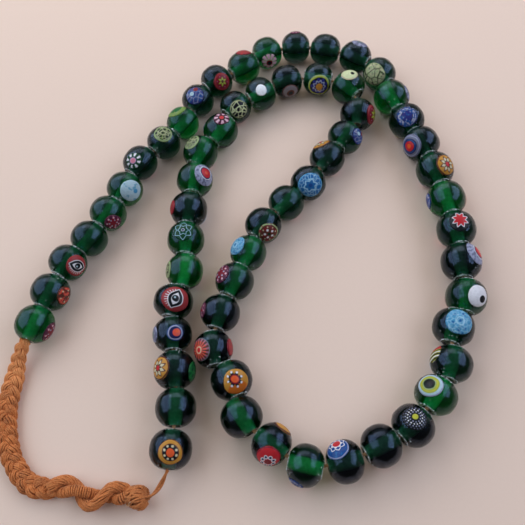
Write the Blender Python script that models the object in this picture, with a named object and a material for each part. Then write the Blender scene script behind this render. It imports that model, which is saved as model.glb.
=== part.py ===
# Beaded necklace laid down flat: drilled glass beads on one thread, closed by a cotton tie.
# The string lies in a long loop with a sharp turn, and the tie joins its two ends.
import math

import bmesh
import bpy
from mathutils import Matrix, Vector

# Sizes that can be set by themselves, in metres
BEAD_DIAMETER = 0.012
BEAD_LENGTH = 0.0103
BEAD_GAP = 0.0005
THREAD_DIAMETER = 0.0014
PLAIT_WIDTH = 0.0048
PLAIT_LENGTH = 0.0535
PLAIT_START_WIDTH = 0.0034
PLAIT_TAPER = 0.010
KNOT_WIDTH = 0.0064
KNOT_LENGTH = 0.0217
WRAP_WIDTH = 0.0074
WRAP_LENGTH = 0.0048
CLEARANCE = 0.0003
FLOOR_GAP = 0.0001

# Sizes that follow
PITCH = BEAD_LENGTH + BEAD_GAP
HOLE_HEIGHT = BEAD_DIAMETER / 2
PLAIT_SPACING = PLAIT_WIDTH / 2
KNOT_SPACING = KNOT_WIDTH / 3

# One bead from end to end: place as a share of its length, width as a share of its diameter
BEAD_PROFILE = [(-0.50, 0.36), (-0.37, 0.74), (-0.14, 1.0), (0.14, 1.0), (0.37, 0.74), (0.50, 0.36)]
# The end wrap: place as a share of its length, width as a share of its own width
WRAP_PROFILE = [(0.0, 0.72), (0.2, 1.0), (0.8, 1.0), (1.0, 0.6)]

BEAD_SIDES = 12
CORD_RINGS = 4
THREAD_RINGS = 2
ROUTE_STEPS = 12
SHARP_EDGE_DEGREES = 35
BEADS = 61
OUTER_BEADS = 31

# The string's chosen points: bead number, then across and up in bead pitches
STRING_ROUTE = [
    (1, -6.25, -1.94), (3, -5.29, -0.17), (5, -4.00, 1.35), (7, -2.92, 3.04), (9, -1.45, 4.43),
    (11, -0.11, 5.98), (12, 0.84, 6.43), (13, 1.75, 6.90), (15, 3.82, 6.67), (16, 4.72, 6.11),
    (17, 5.35, 5.22), (18, 5.52, 4.14), (20, 6.01, 2.15), (22, 6.26, 0.06), (24, 6.13, -2.04),
    (25, 5.95, -3.04), (26, 5.48, -3.93), (28, 4.46, -5.66), (29, 3.71, -6.39), (30, 2.74, -6.67),
    (31, 1.78, -6.95), (32, 0.73, -6.96), (33, 0.01, -6.22), (34, -0.67, -5.47), (35, -0.92, -4.48),
    (36, -1.18, -3.49), (38, -0.43, -1.52), (40, 0.74, 0.12), (42, 2.27, 1.42), (44, 3.70, 2.86),
    (45, 4.30, 3.70), (46, 4.23, 4.81), (47, 3.31, 5.41), (49, 1.26, 5.25), (51, -0.31, 3.88),
    (52, -0.94, 3.07), (54, -1.49, 1.05), (56, -1.86, -0.95), (58, -2.34, -2.91), (60, -2.37, -4.95),
    (61, -2.59, -5.99),
]

# The tie's chosen points: across and up in bead pitches, and lift, 0 lying and 1 at the beads' holes
TIE_ROUTE = [
    (-6.59, -2.55, 0.95), (-6.74, -2.77, 0.52), (-6.86, -3.04, 0.12), (-6.95, -3.37, 0), (-7.04, -3.76, 0),
    (-7.10, -4.17, 0), (-7.11, -4.58, 0), (-7.06, -4.99, 0), (-6.98, -5.37, 0), (-6.84, -5.72, 0),
    (-6.64, -6.05, 0), (-6.35, -6.32, 0), (-5.97, -6.45, 0), (-5.71, -6.46, 0), (-5.44, -6.47, 0),
    (-5.16, -6.58, 0), (-4.92, -6.80, 0), (-4.72, -6.90, 0), (-4.41, -6.86, 0), (-4.19, -6.80, 0),
    (-4.02, -6.84, 0), (-3.83, -6.91, 0), (-3.62, -6.98, 0), (-3.38, -7.06, 0.55), (-3.16, -7.02, 0.68),
    (-2.93, -6.83, 0.86),
]


def slope(rows, i):
    """Rate of change of a route at row i, weighted towards the nearer neighbour."""
    near = rows[max(0, i - 1):i + 2]
    spans = [b[0] - a[0] for a, b in zip(near, near[1:])]
    rates = [(b[1] - a[1]) / span for a, b, span in zip(near, near[1:], spans)]
    if len(rates) == 1:
        return rates[0]
    return (rates[0] * spans[1] + rates[1] * spans[0]) / (spans[0] + spans[1])


def point_on(rows, station):
    """Point of the smooth curve through rows of (station, point)."""
    i = 0
    while i < len(rows) - 2 and rows[i + 1][0] <= station:
        i += 1
    span = rows[i + 1][0] - rows[i][0]
    t = (station - rows[i][0]) / span
    start = rows[i][1] * (2 * t**3 - 3 * t**2 + 1) + slope(rows, i) * span * (t**3 - 2 * t**2 + t)
    end = rows[i + 1][1] * (3 * t**2 - 2 * t**3) + slope(rows, i + 1) * span * (t**3 - t**2)
    return start + end


def bead_places():
    """Middle and heading of every bead, each heading level from the bead before to the one after."""
    rows = [(bead, Vector((across * PITCH, up * PITCH, HOLE_HEIGHT))) for bead, across, up in STRING_ROUTE]
    middles = [point_on(rows, bead) for bead in range(1, BEADS + 1)]
    before = middles[:1] + middles[:-1]
    after = middles[1:] + middles[-1:]
    return [(middle, (b - a).normalized()) for middle, a, b in zip(middles, before, after)]


def tie_rows():
    """The tie's route in plan, from the first bead's outer face to the last bead's, with its lifts."""
    (first, first_heading), *_, (last, last_heading) = bead_places()
    start = first - first_heading * BEAD_LENGTH / 2
    end = last + last_heading * BEAD_LENGTH / 2
    points = [Vector((start.x, start.y, 1.0))]
    points += [Vector((across * PITCH, up * PITCH, lift)) for across, up, lift in TIE_ROUTE]
    points += [Vector((end.x, end.y, 1.0))]
    return list(enumerate(points))


def tie_stretch(start, end, width, spacing, start_width=None):
    """Points and widths of the tie between two lengths along it, widening from start_width at first."""
    rows = tie_rows()
    steps = ROUTE_STEPS * (len(rows) - 1)
    fine = [point_on(rows, rows[-1][0] * k / steps) for k in range(steps + 1)]
    reach = [0.0]
    for a, b in zip(fine, fine[1:]):
        reach.append(reach[-1] + (b.xy - a.xy).length)
    if end is None:
        end = reach[-1] - CLEARANCE
    count = max(2, round((end - start) / spacing) + 1)
    points = []
    for k in range(count):
        along = (end - start) * k / (count - 1)
        i = max(j for j in range(steps) if reach[j] <= start + along)
        point = fine[i].lerp(fine[i + 1], (start + along - reach[i]) / (reach[i + 1] - reach[i]))
        missing = (width - start_width) * max(0.0, 1 - along / PLAIT_TAPER) if start_width else 0.0
        lying = (width - missing) / 2 + FLOOR_GAP
        lift = min(1.0, max(0.0, point.z))
        height = lying + lift * (HOLE_HEIGHT - lying)
        points.append((Vector((point.x, point.y, height)), width - missing))
    return points


def material(name, colour, roughness):
    """A plain finish in the piece's own colour."""
    made = bpy.data.materials.new(name)
    made.use_nodes = True
    shader = made.node_tree.nodes["Principled BSDF"]
    shader.inputs["Base Color"].default_value = (*colour, 1.0)
    shader.inputs["Roughness"].default_value = roughness
    shader.inputs["Metallic"].default_value = 0.0
    return made


def add_object(name, data, finish):
    """A named object in the scene, with its finish."""
    data.materials.append(finish)
    made = bpy.data.objects.new(name, data)
    bpy.context.scene.collection.objects.link(made)
    return made


def ring(bm, centre, heading, width):
    """Edges of a ring round a level axis, with one flat side down and that width across its flats."""
    turn = heading.to_track_quat("Z", "Y").to_matrix().to_4x4()
    half_side = Matrix.Rotation(math.pi / BEAD_SIDES, 4, "Z")
    corner_radius = width / 2 / math.cos(math.pi / BEAD_SIDES)
    place = Matrix.Translation(centre) @ turn @ half_side
    made = bmesh.ops.create_circle(bm, segments=BEAD_SIDES, radius=corner_radius, matrix=place)
    return list({edge for corner in made["verts"] for edge in corner.link_edges})


def turned_object(name, sections, finish):
    """One closed solid through rings of (centre, heading, width)."""
    bm = bmesh.new()
    rings = [ring(bm, *section) for section in sections]
    for a, b in zip(rings, rings[1:]):
        bmesh.ops.bridge_loops(bm, edges=a + b)
    bmesh.ops.holes_fill(bm, edges=rings[0] + rings[-1], sides=BEAD_SIDES)
    bmesh.ops.recalc_face_normals(bm, faces=bm.faces)
    mesh = bpy.data.meshes.new(name)
    bm.to_mesh(mesh)
    bm.free()
    made = add_object(name, mesh, finish)
    mesh.shade_smooth()
    mesh.set_sharp_from_angle(angle=math.radians(SHARP_EDGE_DEGREES))
    return made


def bead_string(name, first, last, finish):
    """A run of beads, fused through the thread that shows between neighbours."""
    places = bead_places()[first - 1:last]
    sections = []
    for i, (middle, heading) in enumerate(places):
        if i:
            before, heading_before = places[i - 1]
            sections.append(((before + middle) / 2, (heading_before + heading) / 2, THREAD_DIAMETER))
        for place, width in BEAD_PROFILE:
            sections.append((middle + heading * place * BEAD_LENGTH, heading, width * BEAD_DIAMETER))
    return turned_object(name, sections, finish)


def cord(name, points, rings, finish):
    """A plain tube through points of (place, width)."""
    data = bpy.data.curves.new(name, "CURVE")
    data.dimensions = "3D"
    data.twist_mode = "Z_UP"
    data.bevel_depth = points[-1][1] / 2
    data.bevel_resolution = rings
    data.use_fill_caps = True
    line = data.splines.new("POLY")
    line.points.add(len(points) - 1)
    for slot, (place, width) in zip(line.points, points):
        slot.co = (*place, 1.0)
        slot.radius = width / points[-1][1]
    return add_object(name, data, finish)


def end_wrap(name, start, finish):
    """The tight winding where the tie's thick part ends."""
    (a, _), (b, _) = tie_stretch(start, start + WRAP_LENGTH, WRAP_WIDTH, WRAP_LENGTH)
    a.z = b.z = WRAP_WIDTH / 2
    heading = (b - a).normalized()
    sections = [(a.lerp(b, place), heading, width * WRAP_WIDTH) for place, width in WRAP_PROFILE]
    return turned_object(name, sections, finish)


def build():
    """Every piece of the necklace."""
    for old in list(bpy.data.objects):
        bpy.data.objects.remove(old)
    glass = material("green_glass", (0.008, 0.07, 0.03), 0.08)
    cotton = material("tan_cotton", (0.52, 0.22, 0.08), 0.85)

    bead_string("bead_string_outer", 1, OUTER_BEADS, glass)
    bead_string("bead_string_inner", OUTER_BEADS + 1, BEADS, glass)

    knots_start = 2 * CLEARANCE + PLAIT_LENGTH
    wrap_start = knots_start + KNOT_LENGTH + CLEARANCE
    thread_start = wrap_start + WRAP_LENGTH + CLEARANCE
    plait_end = CLEARANCE + PLAIT_LENGTH
    plait = tie_stretch(CLEARANCE, plait_end, PLAIT_WIDTH, PLAIT_SPACING, PLAIT_START_WIDTH)
    knots = tie_stretch(knots_start, knots_start + KNOT_LENGTH, KNOT_WIDTH, KNOT_SPACING)
    thread = tie_stretch(thread_start, None, THREAD_DIAMETER, THREAD_DIAMETER)
    cord("tie_plait", plait, CORD_RINGS, cotton)
    cord("tie_knots", knots, CORD_RINGS, cotton)
    end_wrap("tie_wrap", wrap_start, cotton)
    cord("tie_thread", thread, THREAD_RINGS, cotton)


build()
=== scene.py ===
import math
import random

import bmesh
import bpy
from mathutils import Matrix, Vector, noise


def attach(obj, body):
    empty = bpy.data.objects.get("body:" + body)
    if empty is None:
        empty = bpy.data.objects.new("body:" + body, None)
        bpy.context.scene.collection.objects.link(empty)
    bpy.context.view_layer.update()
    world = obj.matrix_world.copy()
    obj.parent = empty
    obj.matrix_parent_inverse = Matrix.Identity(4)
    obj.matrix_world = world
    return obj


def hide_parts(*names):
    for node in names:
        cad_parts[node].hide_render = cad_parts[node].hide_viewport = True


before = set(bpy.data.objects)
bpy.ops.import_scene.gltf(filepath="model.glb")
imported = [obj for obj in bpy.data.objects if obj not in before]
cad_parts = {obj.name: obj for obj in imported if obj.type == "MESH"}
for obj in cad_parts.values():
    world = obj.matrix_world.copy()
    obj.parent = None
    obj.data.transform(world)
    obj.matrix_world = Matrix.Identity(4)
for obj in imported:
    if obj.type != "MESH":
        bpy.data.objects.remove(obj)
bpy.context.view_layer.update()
scene = bpy.context.scene
rand = random.Random(61)

# the camera, set where the photo was taken from
view = {
    "place": (0.00524, -0.09314, 0.17778), "tilt": 25.3, "roll": -8.7, "lens": 41.14, "sensor": 36.0,
    "near": 0.01,
}
cameraData = bpy.data.cameras.new("necklaceCamera")
cameraData.lens = view["lens"]
cameraData.sensor_width = view["sensor"]
cameraData.clip_start = view["near"]
camera = bpy.data.objects.new("necklaceCamera", cameraData)
scene.collection.objects.link(camera)
cameraTurn = Matrix.Rotation(math.radians(view["tilt"]), 4, "X")
cameraTurn = cameraTurn @ Matrix.Rotation(math.radians(view["roll"]), 4, "Z")
camera.matrix_world = Matrix.Translation(view["place"]) @ cameraTurn
scene.camera = camera
cameraRight = cameraTurn.to_3x3() @ Vector((1, 0, 0))
print("camera placed")

# both routes in bead pitches: the string by bead number, the tie with its lift from the table to the holes
string = {"pitch": 0.0108, "beads": 61, "outerBeads": 31, "holeHeight": 0.006}
stringRoute = [
    (1, -6.25, -1.94), (3, -5.29, -0.17), (5, -4.00, 1.35), (7, -2.92, 3.04), (9, -1.45, 4.43),
    (11, -0.11, 5.98), (12, 0.84, 6.43), (13, 1.75, 6.90), (15, 3.82, 6.67), (16, 4.72, 6.11),
    (17, 5.35, 5.22), (18, 5.52, 4.14), (20, 6.01, 2.15), (22, 6.26, 0.06), (24, 6.13, -2.04),
    (25, 5.95, -3.04), (26, 5.48, -3.93), (28, 4.46, -5.66), (29, 3.71, -6.39), (30, 2.74, -6.67),
    (31, 1.78, -6.95), (32, 0.73, -6.96), (33, 0.01, -6.22), (34, -0.67, -5.47), (35, -0.92, -4.48),
    (36, -1.18, -3.49), (38, -0.43, -1.52), (40, 0.74, 0.12), (42, 2.27, 1.42), (44, 3.70, 2.86),
    (45, 4.30, 3.70), (46, 4.23, 4.81), (47, 3.31, 5.41), (49, 1.26, 5.25), (51, -0.31, 3.88),
    (52, -0.94, 3.07), (54, -1.49, 1.05), (56, -1.86, -0.95), (58, -2.34, -2.91), (60, -2.37, -4.95),
    (61, -2.59, -5.99),
]
tieRoute = [
    (-6.59, -2.55, 0.95), (-6.74, -2.77, 0.52), (-6.86, -3.04, 0.12), (-6.95, -3.37, 0), (-7.04, -3.76, 0),
    (-7.10, -4.17, 0), (-7.11, -4.58, 0), (-7.06, -4.99, 0), (-6.98, -5.37, 0), (-6.84, -5.72, 0),
    (-6.64, -6.05, 0), (-6.35, -6.32, 0), (-5.97, -6.45, 0), (-5.71, -6.46, 0), (-5.44, -6.47, 0),
    (-5.16, -6.58, 0), (-4.92, -6.80, 0), (-4.72, -6.90, 0), (-4.41, -6.86, 0), (-4.19, -6.80, 0),
    (-4.02, -6.84, 0), (-3.83, -6.91, 0), (-3.62, -6.98, 0), (-3.38, -7.06, 0.55), (-3.16, -7.02, 0.68),
    (-2.93, -6.83, 0.86),
]
tie = {
    "beadHalf": 0.00515, "clear": 0.0003, "plaitLength": 0.0535, "knotLength": 0.0217, "wrapLength": 0.0048,
}


def routeSlope(rows, i):
    near = rows[max(0, i - 1):i + 2]
    spans = [b[0] - a[0] for a, b in zip(near, near[1:])]
    rates = [(b[1] - a[1]) / span for a, b, span in zip(near, near[1:], spans)]
    if len(rates) == 1:
        return rates[0]
    return (rates[0] * spans[1] + rates[1] * spans[0]) / (spans[0] + spans[1])


def routePoint(rows, station):
    i = 0
    while i < len(rows) - 2 and rows[i + 1][0] <= station:
        i += 1
    span = rows[i + 1][0] - rows[i][0]
    t = (station - rows[i][0]) / span
    start = rows[i][1] * (2 * t**3 - 3 * t**2 + 1) + routeSlope(rows, i) * span * (t**3 - 2 * t**2 + t)
    end = rows[i + 1][1] * (3 * t**2 - 2 * t**3) + routeSlope(rows, i + 1) * span * (t**3 - t**2)
    return start + end


def headingsOf(middles):
    # the way along the string at each bead, from its neighbours
    return [(after - before).normalized()
            for before, after in zip(middles[:1] + middles[:-1], middles[1:] + middles[-1:])]


def beadPlaces():
    pitch, high = string["pitch"], string["holeHeight"]
    rows = [(n, Vector((x * pitch, y * pitch, high))) for n, x, y in stringRoute]
    middles = [routePoint(rows, n) for n in range(1, string["beads"] + 1)]
    return list(zip(middles, headingsOf(middles)))


places = beadPlaces()

# in tenths of a millimetre: how far each bead sits off the route, right and away, and its radius
tenth = 1e-4
beadShifts = [
    (0, 0), (-1, 2), (1, 3), (3, -2), (-2, 1), (1, -5), (-1, 5), (9, -2), (2, -2), (-3, 1), (-2, -3),
    (2, -5), (0, 0), (-1, 0), (-5, -2), (0, 0), (0, -1), (-1, -1), (1, -2), (-1, 0), (0, 1), (-2, -1),
    (2, 0), (-3, -1), (0, -8), (-12, 2), (4, -8), (-3, 2), (-5, 8), (2, -2), (0, 2), (6, 9), (0, -2),
    (0, 3), (11, 5), (-5, 0), (3, 1), (4, -5), (1, -6), (-7, 0), (-1, -1), (-1, -7), (-1, 4), (1, -2),
    (-2, -5), (-2, 1), (-2, -1), (-4, -1), (2, -14), (-4, 10), (10, -4), (-2, 4), (6, 0), (-2, 0), (-1, -1),
    (5, -5), (-10, 1), (3, 2), (2, 0), (-1, 1), (0, 0),
]
beadGirths = [
    59, 61, 61, 60, 61, 61, 58, 59, 57, 58, 60, 60, 58, 57, 57, 57, 58, 61, 61, 61, 61, 61, 61, 61, 61, 61,
    60, 61, 61, 59, 59, 58, 59, 60, 61, 58, 60, 60, 57, 59, 59, 59, 59, 60, 61, 61, 58, 58, 60, 57, 60, 59,
    61, 61, 60, 58, 61, 59, 61, 59, 60,
]
seated = [middle + Vector((x * tenth, y * tenth, 0)) for (middle, _), (x, y) in zip(places, beadShifts)]
beadSeats = list(zip(seated, headingsOf(seated)))


def stringEnds():
    # where the thread comes out of the first and the last bead
    (first, onward), (last, outward) = places[0], places[-1]
    return first - onward * tie["beadHalf"], last + outward * tie["beadHalf"]


def tieLine(steps=12):
    # the tie's fine line in plan with its lift, and how far along each point is
    start, end = stringEnds()
    points = [Vector((x * string["pitch"], y * string["pitch"], lift)) for x, y, lift in tieRoute]
    rows = list(enumerate([Vector((start.x, start.y, 1))] + points + [Vector((end.x, end.y, 1))]))
    count = steps * (len(rows) - 1)
    fine = [routePoint(rows, rows[-1][0] * k / count) for k in range(count + 1)]
    reach = [0.0]
    for a, b in zip(fine, fine[1:]):
        reach.append(reach[-1] + (b.xy - a.xy).length)
    return fine, reach


tieFine, tieReach = tieLine()
tieEnd = tieReach[-1] - tie["clear"]


def tiePlace(along, lying):
    # a point on the tie's middle line; lying is its height where it lies on the table
    i = min(max(j for j in range(len(tieReach) - 1) if tieReach[j] <= along), len(tieReach) - 2)
    point = tieFine[i].lerp(tieFine[i + 1], (along - tieReach[i]) / (tieReach[i + 1] - tieReach[i]))
    lift = min(1.0, max(0.0, point.z))
    return Vector((point.x, point.y, lying + lift * (string["holeHeight"] - lying)))


def levelSides(behind, ahead):
    # the level way across the line from behind to ahead, and the way square to both
    heading = (ahead - behind).normalized()
    side = Vector((0, 0, 1)).cross(heading).normalized()
    return side, heading.cross(side)


def tieFrames(start, end, count, lying):
    # how far along, place, level side and rise at even steps on a stretch of the tie
    step = (end - start) / (count - 1)
    points = [tiePlace(start + step * k, lying) for k in range(count)]
    frames = []
    for k, point in enumerate(points):
        side, rise = levelSides(points[max(k - 2, 0)], points[min(k + 2, count - 1)])
        frames.append((start + step * k, point, side, rise))
    return frames


def setOn(node, values):
    for socket, value in values.items():
        node.inputs[socket].default_value = value


def newMaterial(name, values):
    # a finish whose shader has these values all over the surface
    made = bpy.data.materials.new(name)
    made.use_nodes = True
    shader = made.node_tree.nodes["Principled BSDF"]
    setOn(shader, values)
    return made, made.node_tree, shader


def feed(tree, socket, value):
    if isinstance(value, bpy.types.NodeSocket):
        tree.links.new(value, socket)
    elif value is not None:
        socket.default_value = value


def calc(tree, operation, a, b=None, c=None):
    node = tree.nodes.new("ShaderNodeMath")
    node.operation = operation
    for socket, value in zip(node.inputs, (a, b, c)):
        feed(tree, socket, value)
    return node.outputs[0]


def times(tree, a, b):
    return calc(tree, "MULTIPLY", a, b)


def plus(tree, a, b):
    return calc(tree, "ADD", a, b)


def minus(tree, a, b):
    return calc(tree, "SUBTRACT", a, b)


def below(tree, value, edge, soft=0.03):
    # 1 where value is under edge, 0 over it, with a soft step between
    node = tree.nodes.new("ShaderNodeMapRange")
    node.interpolation_type = "SMOOTHSTEP"
    feed(tree, node.inputs["Value"], value)
    if isinstance(edge, bpy.types.NodeSocket):
        feed(tree, node.inputs["From Min"], minus(tree, edge, soft))
        feed(tree, node.inputs["From Max"], plus(tree, edge, soft))
    else:
        setOn(node, {"From Min": edge - soft, "From Max": edge + soft})
    setOn(node, {"To Min": 1.0, "To Max": 0.0})
    return node.outputs["Result"]


def blendColour(tree, share, under, over):
    node = tree.nodes.new("ShaderNodeMix")
    node.data_type = "RGBA"
    feed(tree, node.inputs[0], share)
    feed(tree, node.inputs[6], under if isinstance(under, bpy.types.NodeSocket) else (*under, 1.0))
    feed(tree, node.inputs[7], over if isinstance(over, bpy.types.NodeSocket) else (*over, 1.0))
    return node.outputs[2]


def vectorCalc(tree, operation, *values):
    node = tree.nodes.new("ShaderNodeVectorMath")
    node.operation = operation
    for socket, value in zip(node.inputs, values):
        feed(tree, socket, value)
    return node


def noiseOn(tree, coordinates, scale, detail=2.0, roughness=0.5, output="Fac"):
    node = tree.nodes.new("ShaderNodeTexNoise")
    feed(tree, node.inputs["Vector"], coordinates)
    setOn(node, {"Scale": scale, "Detail": detail, "Roughness": roughness})
    return node.outputs[output]


def bumpFrom(tree, height, strength, distance):
    node = tree.nodes.new("ShaderNodeBump")
    setOn(node, {"Strength": strength, "Distance": distance})
    feed(tree, node.inputs["Height"], height)
    return node.outputs["Normal"]


def whereOn(tree, output="Object"):
    return tree.nodes.new("ShaderNodeTexCoord").outputs[output]


def meshFrom(bm, name):
    made = bpy.data.meshes.new(name)
    bm.to_mesh(made)
    bm.free()
    return made


def addPiece(name, mesh, nodes=(), finishes=()):
    for finish in finishes:
        mesh.materials.append(finish)
    piece = bpy.data.objects.new(name, mesh)
    scene.collection.objects.link(piece)
    mesh.shade_smooth()
    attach(piece, "root")
    if nodes:
        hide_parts(*nodes)
    return piece


# the cotton tie: each yarn's colour, its darker patches and its paler fibres; a painted highlight pales it
# by the first bead
cotton = {
    "tan": [(0.56, 0.152, 0.032), (0.23, 0.046, 0.010), (0.84, 0.345, 0.12)],
    "shaded": [(0.32, 0.080, 0.018), (0.18, 0.042, 0.010), (0.44, 0.13, 0.035)],
    "bleached": [(0.66, 0.36, 0.18), (0.46, 0.22, 0.09), (0.78, 0.52, 0.32)],
    "patches": 260.0, "fuzz": 2600.0, "fuzzShare": 0.6, "roughness": 0.82, "mirror": 0.25,
    "sheen": 0.25, "sheenRoughness": 0.5, "sheenTint": (1.0, 0.72, 0.42),
    "paintedLightAt": (-0.0705, -0.0262, 0.0050), "paintedLightReach": 0.014, "paintedLightSoft": 0.006, "paintedLight": 0.85,
    "fibres": 900.0, "fibreDepth": 0.4, "bump": 0.00008,
}


def cottonMaterial(name):
    colour, dark, pale = cotton[name]
    made, tree, shader = newMaterial(name + "Cotton", {
        "Roughness": cotton["roughness"], "Sheen Weight": cotton["sheen"],
        "Sheen Roughness": cotton["sheenRoughness"], "Sheen Tint": (*cotton["sheenTint"], 1.0),
        "Specular IOR Level": cotton["mirror"],
    })
    at = whereOn(tree)
    slow = noiseOn(tree, at, cotton["patches"], 2.0)
    fine = noiseOn(tree, at, cotton["fuzz"], 3.0, 0.65)
    tone = blendColour(tree, below(tree, slow, 0.45, 0.22), colour, dark)
    tone = blendColour(tree, times(tree, below(tree, fine, 0.5, 0.2), cotton["fuzzShare"]), tone, pale)
    # painted highlight: near the first bead the yarn is painted paler, as where it faces the light
    fromEnd = vectorCalc(tree, "DISTANCE", at, cotton["paintedLightAt"]).outputs["Value"]
    paintedLight = below(tree, fromEnd, cotton["paintedLightReach"], cotton["paintedLightSoft"])
    tone = blendColour(tree, times(tree, paintedLight, cotton["paintedLight"]), tone, pale)
    feed(tree, shader.inputs["Base Color"], tone)
    parts = tree.nodes.new("ShaderNodeSeparateXYZ")
    feed(tree, parts.inputs[0], whereOn(tree, "UV"))
    alongYarn = times(tree, parts.outputs[0], cotton["fibres"])
    roundYarn = times(tree, parts.outputs[1], 4 * math.pi)
    fibres = calc(tree, "SINE", plus(tree, alongYarn, roundYarn))
    height = plus(tree, times(tree, fibres, cotton["fibreDepth"]), fine)
    feed(tree, shader.inputs["Normal"], bumpFrom(tree, height, 0.5, cotton["bump"]))
    return made


tanCotton, shadedCotton, bleachedCotton = (cottonMaterial(name) for name in ("tan", "shaded", "bleached"))


def yarnMesh(name, groups, sides=2):
    # groups of (lines, finish), each line a list of (place, radius); all become round yarns in one mesh
    data = bpy.data.curves.new(name, "CURVE")
    data.dimensions = "3D"
    data.twist_mode = "MINIMUM"
    data.bevel_depth = 1.0
    data.bevel_resolution = sides - 1
    data.use_fill_caps = True
    for slotNumber, (lines, finish) in enumerate(groups):
        data.materials.append(finish)
        for line in lines:
            spline = data.splines.new("POLY")
            spline.material_index = slotNumber
            spline.points.add(len(line) - 1)
            for point, (place, radius) in zip(spline.points, line):
                point.co = (*place, 1.0)
                point.radius = radius
    holder = bpy.data.objects.new(name, data)
    scene.collection.objects.link(holder)
    bpy.context.view_layer.update()
    made = bpy.data.meshes.new_from_object(holder.evaluated_get(bpy.context.evaluated_depsgraph_get()))
    bpy.data.objects.remove(holder)
    bpy.data.curves.remove(data)
    made.name = name
    return made


# how unevenly yarns lie: waves to the metre, and how far the waves reach
unevenness = {
    "turns": 350, "turn": 0.35, "reaches": 500, "slips": 1500, "slip": 0.3, "bulges": 900, "bulge": 0.10,
}


def spoke(side, rise, turn):
    return side * math.cos(turn) + rise * math.sin(turn)


def stations(path):
    # how far along, place, level side and rise at every place of a path
    travelled = 0.0
    rows = []
    for k, place in enumerate(path):
        if k:
            travelled += (place - path[k - 1]).length
        side, rise = levelSides(path[max(k - 1, 0)], path[min(k + 1, len(path) - 1)])
        rows.append((travelled, place, side, rise))
    return rows


def strandYarns(path, width, height, count, radius, twist, stray):
    # yarns lying round the outside of one strand whose middle is path, a list of places
    lines = []
    for j in range(count):
        seed = rand.uniform(0, 50)
        line = []
        for travelled, place, side, rise in stations(path):
            wander = noise.noise(Vector((seed, travelled * unevenness["turns"], 0)))
            turn = 2 * math.pi * (j / count + travelled / twist) + wander * unevenness["turn"]
            reach = 1 + stray * noise.noise(Vector((seed + 9, travelled * unevenness["reaches"], 1)))
            offset = side * math.cos(turn) * width * reach + rise * math.sin(turn) * height * reach
            line.append((place + offset, radius * (1 + 0.5 * stray * wander)))
        lines.append(line)
    return lines


plait = {
    "spread": 0.00150, "depth": 0.00084, "crossing": 0.0089, "strandWide": 0.00135, "strandHigh": 0.00078,
    "yarns": 16, "yarn": 0.00025, "cores": 4, "core": 0.00062, "coreWide": 0.5, "coreHigh": 0.2,
    "taper": 0.012, "startSize": 0.66, "endTaper": 0.005, "endSize": 0.80, "yarnTwist": 0.070,
    "stray": 0.28, "slack": 0.35, "rest": 0.00206, "rings": 140, "width": 0.0048,
}
plaitStart = tie["clear"]
plaitEnd = plaitStart + tie["plaitLength"]
plaitFrames = tieFrames(plaitStart, plaitEnd, plait["rings"], plait["rest"])
plaitLines = []
plaitCores = []
for strand in range(3):
    middle = []
    sizes = []
    for along, place, side, rise in plaitFrames:
        size = 1 - (1 - plait["startSize"]) * max(0.0, 1 - (along - plaitStart) / plait["taper"])
        size -= (1 - plait["endSize"]) * max(0.0, 1 - (plaitEnd - along) / plait["endTaper"])
        uneven = plait["slack"] * noise.noise(Vector((strand * 7.3, along * 160, 2)))
        phase = 2 * math.pi * (along / plait["crossing"] + strand / 3) + uneven
        across = side * math.sin(phase) * plait["spread"] * size
        middle.append(place + across + rise * math.sin(2 * phase) * plait["depth"] * size)
        sizes.append(size)
    broad, tall = plait["strandWide"], plait["strandHigh"]
    core = (broad * plait["coreWide"], tall * plait["coreHigh"], plait["cores"], plait["core"])
    for lines, wide, high, count, radius, stray in (
            (plaitLines, broad, tall, plait["yarns"], plait["yarn"], plait["stray"]),
            (plaitCores, *core, 0.0)):
        for line in strandYarns(middle, wide, high, count, radius, plait["yarnTwist"], stray):
            lines.append([(inside.lerp(place, size), radius * size)
                          for (place, radius), inside, size in zip(line, middle, sizes)])
plaitMesh = yarnMesh("tiePlait", [(plaitLines, tanCotton), (plaitCores, shadedCotton)])
plaitPiece = addPiece("tiePlait", plaitMesh, ["tie_plait"])

knots = {
    "pitch": 0.0171, "spread": 0.00150, "phase": -0.90, "strand": 0.00136, "yarns": 16, "yarn": 0.00028,
    "yarnTwist": 0.020, "stray": 0.2, "core": 0.0012, "ribRadius": 0.00134, "ribYarn": 0.00025,
    "ribPitch": 0.00054, "ribPoints": 16, "closeIn": 0.0025, "rest": 0.0032, "rings": 70, "overlap": 0.0012,
}
knotStart = plaitEnd + tie["clear"]
knotEnd = knotStart + tie["knotLength"]
knotFrames = tieFrames(knotStart - knots["overlap"], knotEnd, knots["rings"], knots["rest"])


def twistPath(frames, phase):
    # one of two strands that turn round each other, drawn together at both ends
    closeIn = knots["closeIn"]
    middle = []
    for along, place, side, rise in frames:
        turn = 2 * math.pi * (along - knotStart) / knots["pitch"] + phase
        near = min(1.0, (along - frames[0][0]) / closeIn + 0.45, (frames[-1][0] - along) / closeIn + 0.55)
        middle.append(place + (side * math.cos(turn) - rise * math.sin(turn)) * knots["spread"] * near)
    return middle


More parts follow.
